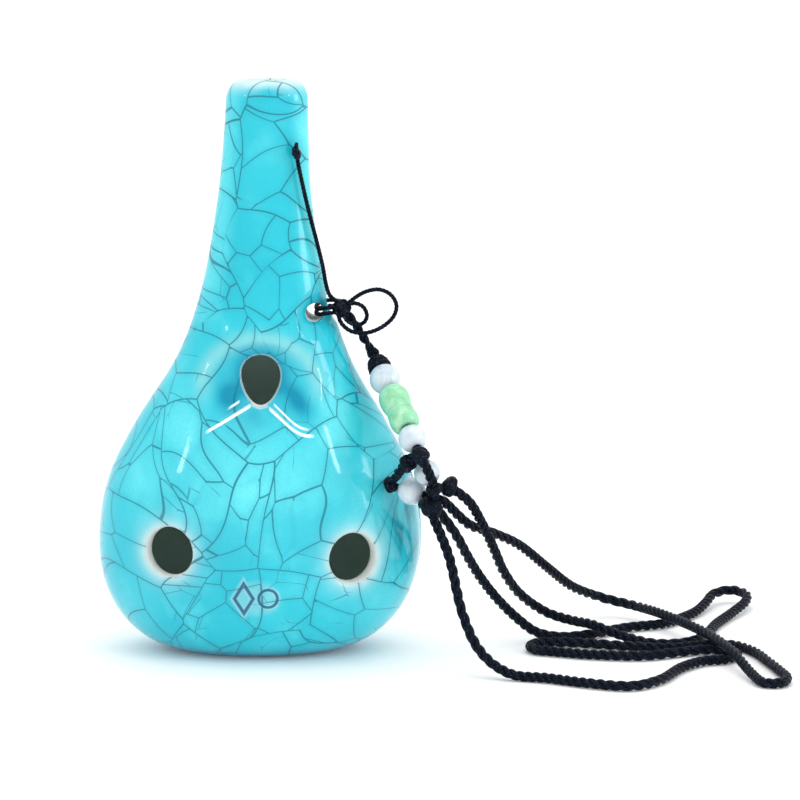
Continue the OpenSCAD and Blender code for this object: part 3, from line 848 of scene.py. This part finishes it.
HEIGHT, BELLY_W, MOUTH_W = 137.0, 77.2, 19.2
FLATNESS, LEAN, WALL, LIP_R = 0.65, 0.02, 5.0, 2.6
BELLY_Z = 0.205 * HEIGHT
OUTLINE = [(0, 0.44), (0.05, 0.75), (0.12, 0.94), (0.205, 1), (0.3, 0.93), (0.4, 0.7),
           (0.52, 0.37), (0.65, 0.16), (0.78, 0.06), (0.9, 0.02), (1 - LIP_R / HEIGHT, 0)]
WINDOW_X, WINDOW_Z, WINDOW_W, WINDOW_H, WINDOW_TAPER = 0.6, 67.0, 9.2, 11.6, 0.18
THUMB_D, THUMB = 12.4, [(-21.6, 27.2), (23, 25.6)]
FINGER_D, FINGER = [6.5, 7.5, 8.5, 9.5], [(-13, 54), (13, 54), (-15, 36), (15, 36)]
STRAP_D, STRAP = 4.2, (13.2, 82)
HOLE_TAPER = 0.12

# The hollow round the window: its middle, half sizes, depth, and how it fades to its rim
SCOOP_Z, SCOOP_HALF, SCOOP_DEPTH, SCOOP_FADE = 64.5, (13.5, 12.0), 2.7, 1.25
# How far the labium's ridge and the hood over the window stand out
RIDGE_LIFT, HOOD_LIFT = 0.4, 0.35
# How deep the grip, the mark's lines, the ease round a thumb hole and the hollow round the strap
# hole are, and the two waves of a hand-made skin
GRIP_DEPTH, MARK_DEPTH, THUMB_EASE, STRAP_DISH, WAVES = 0.7, 0.34, 0.45, 1.7, (0.22, 0.16)
GRIP = (34, 5, 34, 13)
# The foot's rounding, the floor of the chamber, and the dome over it as radii at heights
FOOT_ROUND, CHAMBER_FLOOR = 4.0, 4.5
DOME_Z, DOME_R = [58, 60, 67, 72, 74.5, 80], [40, 21.5, 14, 8, 0.1, -8]
# The windway's foot, its middle there, half width, half height and tilt
WINDWAY_Z, WINDWAY_X, WINDWAY_Y, WINDWAY_W, WINDWAY_H = 72, 0.8, -8.6, 4.0, 0.8
WINDWAY_TILT = math.tan(math.radians(7))
# The grid that the surface is found on, and its spacing for a quick and a full render
GRID_LOW, GRID_HIGH = np.array([-41.0, -27.5, -1.5]), np.array([41.5, 27.5, 139.0])
PITCH_QUICK, PITCH_FULL = 0.9, 0.7
# Spots, as middle and reach across and upwards: the darker pools left and right of the window's
# tip, the right one sloping, and the streaked patch at the right side
LEFT_POOL, RIGHT_POOL, POOL_SLOPE = (-7, 2.9, 63.4, 3.2), (9.4, 3.1, 62.4, 2.9), 0.7
STREAK = (34.5, 3.4, 34, 12)
# Where the glaze is thin: strength, such a spot, and whether it is on both sides
THIN_SPOTS = [(0.75, 0, 22, 46, 11, False), (0.7, 18, 6, 56, 9, True), (0.5, 26, 6, 42, 16, False),
              (0.3, 30, 6, 12, 9, True), (0.55, -24, 7, 44, 9, False)]

profile = evenly([[MOUTH_W / 2 + s * (BELLY_W - MOUTH_W) / 2, h * HEIGHT, 0]
                  for h, s in OUTLINE], 0.5)


def half_width(z):
    """Half width of the round form at height z."""
    return np.interp(z, profile[:, 1], profile[:, 0])


def soft_spot(x, z, x0, x_reach, z0, z_reach):
    """1 at (x0, z0), falling to 0 round it over the given reaches."""
    return np.exp(-((x - x0) / x_reach) ** 2 - ((z - z0) / z_reach) ** 2)


def smooth_max(a, b, k):
    h = np.maximum(k - np.abs(a - b), 0) / k
    return np.maximum(a, b) + h * h * k / 4


def scoop_shape(x, z):
    """How deep into the hollow round the window (0 to 1), and height over the labium's ridge."""
    u = x - RIDGE_X
    q = (u / SCOOP_HALF[0]) ** 2 + ((z - SCOOP_Z) / SCOOP_HALF[1]) ** 2
    dish = np.clip(1 - q, 0, 1) ** SCOOP_FADE
    far, reach = np.abs(u), np.where(u < 0, *RIDGE_REACH)
    bend = np.maximum(RIDGE_BEND - np.abs(far - reach), 0) / RIDGE_BEND
    level = np.minimum(far, reach) - bend ** 3 * RIDGE_BEND / 6
    ridge = RIDGE_Z - np.where(u < 0, *RIDGE_FALL) * level
    return dish, (z - ridge) * RIDGE_SQUARE, q


def mark_lines(x, z):
    """Distance to the lines of a small stamped mark: a lozenge beside a ring."""
    low = np.abs(z - MARK_Z)
    lozenge = np.abs(np.abs(x + LOZENGE_X) / LOZENGE[0] + low / LOZENGE[1] - 1)
    ring = np.abs(np.hypot(x - RING_X, low) - RING_R)
    return np.minimum(lozenge * LOZENGE_SQUARE, ring) - MARK_HALF


def skin_depth(x, z, front):
    """How far the skin is pressed in from the plain form, at (x, z) on the front or back."""
    dish, over, q = scoop_shape(x, z)
    scoop = SCOOP_DEPTH * dish * step_up(over)
    bead = -RIDGE_LIFT * bell((over + 0.1) / 0.75) * step_up(dish / 0.12)
    hood = -HOOD_LIFT * bell((np.sqrt(q) - 1.2) / 0.22) * step_up((z - 60) / 8)
    grip = GRIP_DEPTH * soft_spot(x, z, *GRIP)
    mark = MARK_DEPTH * (1 - step_up(mark_lines(x, z) / 0.35))
    depth = np.where(front, scoop + bead + hood + grip + mark, 0)
    for tx, tz in THUMB:
        d = np.hypot(x - tx, z - tz)
        depth = depth + np.where(front, THUMB_EASE * bell((d - 6) / 3.2), 0)
    strap = np.clip(1 - ((x - 14.2) / 5.6) ** 2 - ((z - STRAP[1]) / 5.8) ** 2, 0, 1)
    depth = depth + STRAP_DISH * strap ** 1.4
    uneven = (WAVES[0] * np.sin(0.11 * z + 0.07 * x + 1)
              + WAVES[1] * np.sin(0.19 * x - 0.05 * z))
    return depth + uneven * step_up(z / 12) * step_up((HEIGHT - z) / 12)


def tone_holes():
    """Each tone hole's (middle, outward direction, radius)."""
    found = []
    for (x, z), d, face in ([(at, THUMB_D, -1) for at in THUMB]
                            + [(at, d, 1) for at, d in zip(FINGER, FINGER_D)]):
        r, xs = half_width(z), x - LEAN * (z - BELLY_Z)
        y = face * FLATNESS * math.sqrt(r * r - xs * xs)
        out = np.array([xs, y / FLATNESS ** 2, 0])
        found.append((np.array([x, y, z]), unit(out), d / 2))
    return found


HOLES = tone_holes()


def hole_distance(x, y, z, hole):
    """Distance outside a tone hole's wall, and how far out along its axis."""
    at, out, r = hole
    dx, dy, dz = x - at[0], y - at[1], z - at[2]
    along = dx * out[0] + dy * out[1]
    across_2 = np.maximum(dx * dx + dy * dy + dz * dz - along * along, 0)
    return np.sqrt(across_2) - r - HOLE_TAPER * np.clip(along, -WALL, 0), along


def window_distance(x, z):
    zc = np.clip((z - WINDOW_Z) / (WINDOW_H / 2), -1.6, 1.6)
    half = WINDOW_W / 2 * (1 + WINDOW_TAPER * zc)
    return (np.sqrt(((x - WINDOW_X) / half) ** 2 + zc ** 2) - 1) * WINDOW_W / 2


def windway_distance(x, y, z):
    dz = z - WINDWAY_Z
    dx = x - WINDWAY_X - LEAN * dz
    dy = y - WINDWAY_Y - WINDWAY_TILT * dz
    flat = np.maximum(np.abs(dx) - WINDWAY_W, np.abs(dy) - WINDWAY_H)
    return smooth_max(flat, -dz, 0.3)


def outer_field(x, y, z):
    xs, ys = x - LEAN * (z - BELLY_Z), y / FLATNESS
    rr = np.maximum(np.hypot(xs, ys), 1e-6)
    r = half_width(z)
    x_plain = r * xs / rr + LEAN * (z - BELLY_Z)
    stretch = 1 / np.sqrt((xs / rr) ** 2 + (FLATNESS * ys / rr) ** 2)
    target = r - skin_depth(x_plain, z, ys < 0) * stretch
    steep = half_width(z + 0.5) - half_width(z - 0.5)
    slope = np.sqrt((xs / rr) ** 2 + (ys / (rr * FLATNESS)) ** 2 + steep ** 2)
    side = (rr - target) / slope
    return smooth_max(smooth_max(side, z - HEIGHT, 2 * LIP_R), -z, FOOT_ROUND)


def inner_field(x, y, z):
    flat = FLATNESS - 0.04
    xs, ys = x - LEAN * (z - BELLY_Z), y / flat
    rr = np.maximum(np.hypot(xs, ys), 1e-6)
    dome = np.interp(z, DOME_Z, DOME_R)
    r = np.minimum(half_width(z) - WALL, np.where(z > 60, dome, 99))
    side = (rr - r) * flat
    return smooth_max(side, CHAMBER_FLOOR - z, 2.0)


def body_field(x, y, z):
    """Below zero in the clay, in millimetres from its surface or less."""
    f = smooth_max(outer_field(x, y, z), -inner_field(x, y, z), 0.5)
    f = smooth_max(f, -np.maximum(window_distance(x, z), y + 3), 0.5)
    f = smooth_max(f, -windway_distance(x, y, z), 0.4)
    for hole in HOLES:
        wall, along = hole_distance(x, y, z, hole)
        f = smooth_max(f, -np.maximum(wall, np.abs(along) - 8), 1.5)
    strap = np.hypot(x - STRAP[0], z - STRAP[1]) - STRAP_D / 2
    return smooth_max(f, -strap, 0.9)


def field_mesh(pitch):
    """The surface where body_field is zero: one point per crossed cell, joined into quads."""
    axes = [np.arange(GRID_LOW[k], GRID_HIGH[k], pitch) for k in range(3)]
    x, y, z = np.meshgrid(*axes, indexing="ij")
    f = body_field(x, y, z)
    inside = f < 0
    shape = np.array(f.shape) - 1
    total = np.zeros(tuple(shape) + (3,))
    count = np.zeros(tuple(shape))
    corners = [(i, j, k) for i in (0, 1) for j in (0, 1) for k in (0, 1)]
    for a in corners:
        for axis in range(3):
            if a[axis]:
                continue
            b = tuple(v + (1 if n == axis else 0) for n, v in enumerate(a))
            fa = f[tuple(slice(a[n], a[n] + shape[n]) for n in range(3))]
            fb = f[tuple(slice(b[n], b[n] + shape[n]) for n in range(3))]
            crossed = (fa < 0) != (fb < 0)
            t = np.where(crossed, fa / np.where(crossed, fa - fb, 1), 0)
            for n in range(3):
                total[..., n] += np.where(crossed, a[n] + (t if n == axis else 0), 0)
            count += crossed
    used = count > 0
    index = -np.ones(tuple(shape), int)
    index[used] = np.arange(used.sum())
    cell = np.argwhere(used)
    verts = GRID_LOW + (cell + total[used] / count[used][:, None]) * pitch
    faces = []
    for axis in range(3):
        u, v = (axis + 1) % 3, (axis + 2) % 3
        first = tuple(slice(0, -1) if n == axis else slice(1, -1) for n in range(3))
        second = tuple(slice(1, None) if n == axis else slice(1, -1) for n in range(3))
        change = inside[first] != inside[second]
        spots = np.argwhere(change)
        flip = inside[first][change]
        spots = spots + np.array([0 if n == axis else 1 for n in range(3)])

        def cell_at(du, dv):
            at = spots.copy()
            at[:, u] -= du
            at[:, v] -= dv
            return index[at[:, 0], at[:, 1], at[:, 2]]
        quad = np.stack([cell_at(1, 1), cell_at(0, 1), cell_at(0, 0), cell_at(1, 0)], axis=1)
        quad[~flip] = quad[~flip][:, ::-1]
        faces.append(quad)
    return verts, np.concatenate(faces)


def settled(verts, most, rounds=3):
    """verts moved square to the surface until body_field is zero there, at most so far."""
    e = 0.05
    start = verts
    for _ in range(rounds):
        x, y, z = verts.T
        f = body_field(x, y, z)
        g = np.stack([body_field(x + e, y, z) - body_field(x - e, y, z),
                      body_field(x, y + e, z) - body_field(x, y - e, z),
                      body_field(x, y, z + e) - body_field(x, y, z - e)], axis=1) / (2 * e)
        size = np.maximum((g * g).sum(axis=1), 0.2)
        move = -(f / size)[:, None] * g
        length = norm(move, axis=1)
        move *= np.minimum(1, 0.4 / np.maximum(length, 1e-9))[:, None]
        away = verts + move - start
        length = norm(away, axis=1)
        verts = start + away * np.minimum(1, most / np.maximum(length, 1e-9))[:, None]
    return verts


def refined(verts, faces):
    """The mesh with each edge cut in three where the skin has fine relief."""
    mesh = bpy.data.meshes.new("relief")
    mesh.from_pydata(verts.tolist(), [], faces.tolist())
    bm = bmesh.new()
    bm.from_mesh(mesh)

    def fine(face):
        x, y, z = face.calc_center_median()
        outside = y < -FLATNESS * 0.5 * float(half_width(z))
        return outside and ((abs(x) < 6.6 and 11 < z < 23)
                            or abs(float(window_distance(np.array(x), np.array(z)))) < 1.0
                            or (abs(x) < 15 and 53 < z < 65 and scoop_near(x, z)))
    edges = list({e for f in bm.faces if fine(f) for e in f.edges})
    bmesh.ops.subdivide_edges(bm, edges=edges, cuts=2, use_grid_fill=True)
    bm.to_mesh(mesh)
    bm.free()
    flat = np.empty(len(mesh.vertices) * 3)
    mesh.vertices.foreach_get("co", flat)
    faces = [tuple(f.vertices) for f in mesh.polygons]
    bpy.data.meshes.remove(mesh)
    return flat.reshape(-1, 3), faces


def scoop_near(x, z):
    return -2.0 < float(scoop_shape(np.array(x), np.array(z))[1]) < 3.0


def paint(mesh, **shares):
    for name, values in shares.items():
        layer = mesh.attributes.new(name, "FLOAT", "POINT")
        layer.data.foreach_set("value", np.asarray(values, np.float32))


def make_body():
    pitch = PITCH_FULL
    verts, faces = field_mesh(pitch)
    verts, faces = refined(settled(verts, 0.6 * pitch), faces)
    verts = settled(verts, 0.35)
    obj = make_object("glazed_body", verts, faces, GLAZE, ROOT)
    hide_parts("ocarina_body")
    x, y, z = verts.T
    outside = outer_field(x, y, z)
    front = y < 0
    dish, over, q = scoop_shape(x, z)
    window = window_distance(x, z)

    # Where the glaze pools: beside the window, under its tip, round the strap hole, and along the
    # foot, where the dark band is also painted shade
    ring = np.exp(-np.clip(window - 0.3, 0, 9) / 1.7) * step_up((z - 62) / 3)
    legs = np.maximum(soft_spot(x, z, *LEFT_POOL),
                      soft_spot(x, z + POOL_SLOPE * (x - RIGHT_POOL[0]), *RIGHT_POOL))
    pool = front * step_up(over / 0.7) * np.clip(
        0.8 * ring * step_up(dish / 0.1) + 1.05 * legs + 0.2 * dish, 0, 1)
    spot = np.exp(-np.hypot(x + 1.0, z - 59.2) ** 2 / 9)
    pool = np.maximum(pool, 0.5 * spot * front)
    strap = np.hypot((x - 14.4) / 0.9, z - STRAP[1] - 1.0)
    pool = np.maximum(pool, 0.8 * bell(strap / 4.0) * (z > 70))
    # Painted shade: a dark band along the foot, where the body meets the floor, on top of glaze
    # pooled there
    pool = np.maximum(pool, bell(z / 2.2))
    hood = bell((np.sqrt(q) - 1.02) / 0.16) * step_up((z - 60) / 7) * front

    # Where it is thin: over the middle of the belly, the shoulders, and beside the neck
    thin = np.zeros(len(verts))
    for strength, x0, x_reach, z0, z_reach, both in THIN_SPOTS:
        spot = soft_spot(np.abs(x) if both else x, z, x0, x_reach, z0, z_reach)
        thin = np.maximum(thin, strength * spot)
    aside = np.abs(x - LEAN * (z - BELLY_Z)) / half_width(z)
    thin = np.maximum(thin, 0.6 * step_up((z - 74) / 16) * step_up((aside - 0.5) / 0.4))
    thin *= np.clip(1 - 1.1 * legs, 0, 1)

    # Where it has run off an edge, with painted highlight in the white band round the lip, and
    # where the clay is bare
    rim = bell(np.clip(window, 0, 9) / 0.24) * 0.6 * front
    edge = rim * (z > 55) * (z < 82)
    bare = np.zeros(len(verts))
    for n, hole in enumerate(HOLES):
        wall, along = hole_distance(x, y, z, hole)
        here = np.abs(along) < 9
        halo = here * np.exp(-np.clip(wall, 0, 20) / (1.5 if n < 2 else 0.8))
        edge = np.maximum(edge, 0.95 * halo)
        bare = np.maximum(bare, here * (1 - step_up((wall - 0.05) / 0.3)) * 0.55)
    # Painted highlight: the white band round the lip, partly glaze thinned at the rim
    lip = 2.1 - 0.8 * bell((x - 2.5) / 2.2)
    edge = np.maximum(edge, 0.9 * bell((HEIGHT - z) / lip))
    bare = np.maximum(bare, 0.55 * step_up((-outside - 0.35) / 0.5))
    chamber = 1 - step_up((np.abs(inner_field(x, y, z)) - 0.1) / 0.2)
    bare = np.where(outside < -1.5, np.maximum(bare, 0.55 + 0.45 * chamber), bare)
    bare = np.where((z < 0.02) & (outside > -0.5), 0.5, bare)
    streak = front * soft_spot(x, z, *STREAK)
    paint(obj.data, pool=pool, edge=edge, bare=bare, streak=streak, thin=thin, hood=hood)


make_body()
